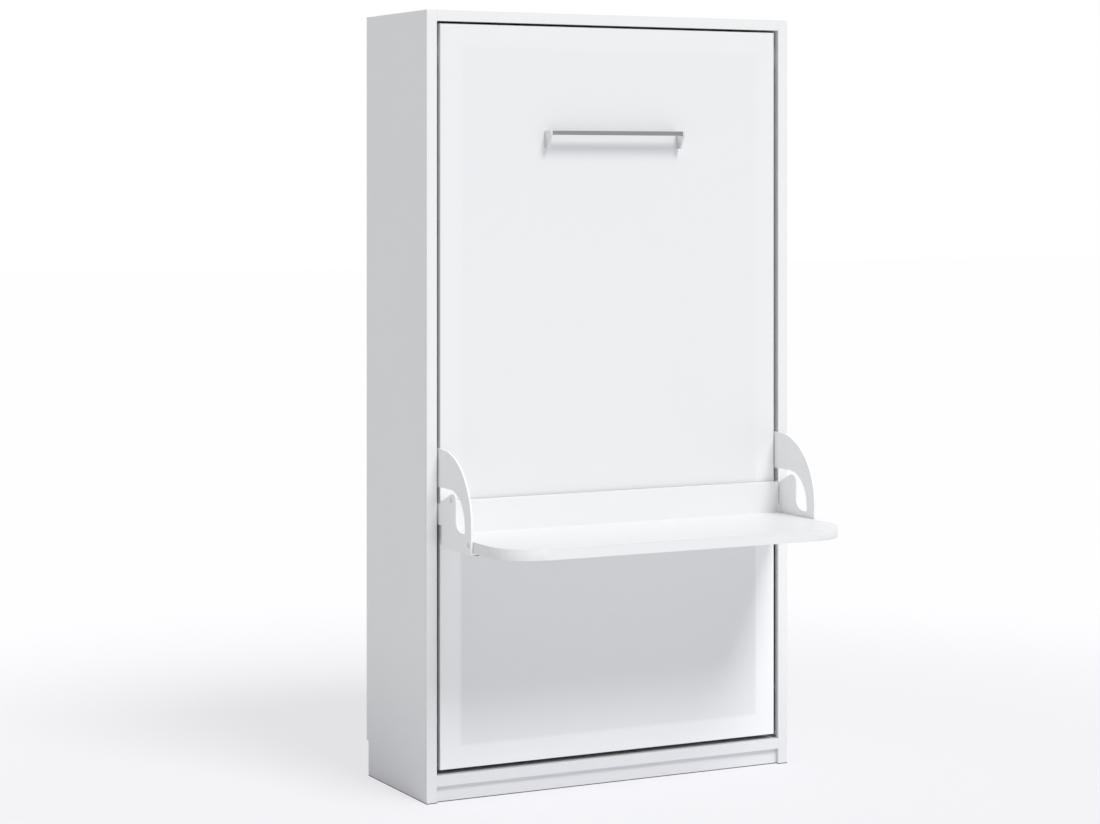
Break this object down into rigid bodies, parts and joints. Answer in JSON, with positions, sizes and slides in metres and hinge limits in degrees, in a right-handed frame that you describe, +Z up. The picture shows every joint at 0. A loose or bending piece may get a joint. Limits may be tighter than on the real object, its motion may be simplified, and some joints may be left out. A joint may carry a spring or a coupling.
{
  "type": "wall bed with fold down desk",
  "caption": "Tall cabinet with an upright single bed behind its door; a desk on curved side arms stays level as the bed folds down to the floor.",
  "frame": {"origin": "on the floor, in the middle of the cabinet's front plane, which is the middle of the whole object's footprint", "axes": "+X across the cabinet to its right, +Y from the front plane to the wall, +Z up"},
  "size_m": [1.15, 0.83, 2.16],
  "materials": {
    "cabinet_white": "white melamine faced board, satin",
    "back_white": "thin white faced board",
    "joiner_white": "white plastic strip",
    "door_white": "white lacquered board, satin",
    "desk_white": "white lacquered board, satin",
    "arm_white": "white powder coat",
    "handle_steel": "brushed satin nickel",
    "frame_grey": "grey powder coat",
    "zinc_steel": "bright zinc plate",
    "black_plastic": "moulded, matt",
    "slat_birch": "clear lacquered birch plywood",
    "ticking": "knitted mattress ticking",
    "webbing": "woven polyester webbing",
    "strut_black": "black gloss paint"
  },
  "bodies": {
    "cabinet": {"side_panel_left": "cabinet_white", "side_panel_right": "cabinet_white", "top_panel": "cabinet_white", "bottom_shelf": "cabinet_white", "plinth": "cabinet_white", "back_panel_upper": "back_white", "back_panel_lower": "back_white", "back_joiner": "joiner_white", "wall_rail_upper": "cabinet_white", "wall_rail_lower": "cabinet_white", "closing_stops": "zinc_steel", "pivot_plate_left": "zinc_steel", "pivot_plate_right": "zinc_steel", "strut_anchor_left": "zinc_steel", "strut_anchor_right": "zinc_steel"},
    "bed": {"door_panel": "door_white", "handle_bar": "handle_steel", "handle_legs": "handle_steel", "rail_left": "frame_grey", "rail_right": "frame_grey", "rail_plugs": "black_plastic", "cross_tubes": "frame_grey", "hinge_bracket_left": "zinc_steel", "hinge_bracket_right": "zinc_steel", "arm_bracket_left": "zinc_steel", "arm_bracket_right": "zinc_steel", "arm_pin_left": "zinc_steel", "arm_pin_right": "zinc_steel", "slats": "slat_birch", "slat_caps": "black_plastic", "mattress": "ticking", "mattress_stop": "zinc_steel", "mattress_hoop": "frame_grey", "strap_upper": "webbing", "strap_lower": "webbing"},
    "desk": {"desktop": "desk_white", "upstand": "desk_white", "arm_left": "arm_white", "arm_right": "arm_white", "arm_screws": "zinc_steel", "arm_glides": "black_plastic"},
    "link_left": {"link_left": "zinc_steel"},
    "link_right": {"link_right": "zinc_steel"},
    "cylinder_left": {"strut_cylinder_left": "strut_black"},
    "cylinder_right": {"strut_cylinder_right": "strut_black"},
    "rod_left": {"strut_rod_left": "zinc_steel"},
    "rod_right": {"strut_rod_right": "zinc_steel"}
  },
  "joints": [
    {"name": "bed_fold", "type": "hinge", "parent": "cabinet", "child": "bed", "pos_m": [0, 0.045, 0.2165], "axis": [1, 0, 0], "range_deg": [0, 90]},
    {"name": "desk_level", "type": "hinge", "parent": "bed", "child": "desk", "pos_m": [0, 0.045, 0.9135], "axis": [1, 0, 0], "range_deg": [-90, 0]},
    {"name": "link_turn_left", "type": "hinge", "parent": "cabinet", "child": "link_left", "pos_m": [-0.543, 0.02, 0.0895], "axis": [1, 0, 0], "range_deg": [0, 90]},
    {"name": "strut_swing_left", "type": "hinge", "parent": "cabinet", "child": "cylinder_left", "pos_m": [-0.503, 0.04943, 0.34325], "axis": [1, 0, 0], "range_deg": [0, 45]},
    {"name": "rod_swing_left", "type": "hinge", "parent": "bed", "child": "rod_left", "pos_m": [-0.503, 0.0692, 0.092], "axis": [1, 0, 0], "range_deg": [-45, 0]},
    {"name": "link_turn_right", "type": "hinge", "parent": "cabinet", "child": "link_right", "pos_m": [0.543, 0.02, 0.0895], "axis": [1, 0, 0], "range_deg": [0, 90]},
    {"name": "strut_swing_right", "type": "hinge", "parent": "cabinet", "child": "cylinder_right", "pos_m": [0.503, 0.04943, 0.34325], "axis": [1, 0, 0], "range_deg": [0, 45]},
    {"name": "rod_swing_right", "type": "hinge", "parent": "bed", "child": "rod_right", "pos_m": [0.503, 0.0692, 0.092], "axis": [1, 0, 0], "range_deg": [-45, 0]}
  ],
  "couplings": [
    {"joint": "desk_level", "follows": "bed_fold", "ratio": -1},
    {"joint": "link_turn_left", "follows": "bed_fold", "ratio": 1},
    {"joint": "strut_swing_left", "follows": "bed_fold", "ratio": 0.5},
    {"joint": "rod_swing_left", "follows": "bed_fold", "ratio": -0.5},
    {"joint": "link_turn_right", "follows": "bed_fold", "ratio": 1},
    {"joint": "strut_swing_right", "follows": "bed_fold", "ratio": 0.5},
    {"joint": "rod_swing_right", "follows": "bed_fold", "ratio": -0.5}
  ]
}
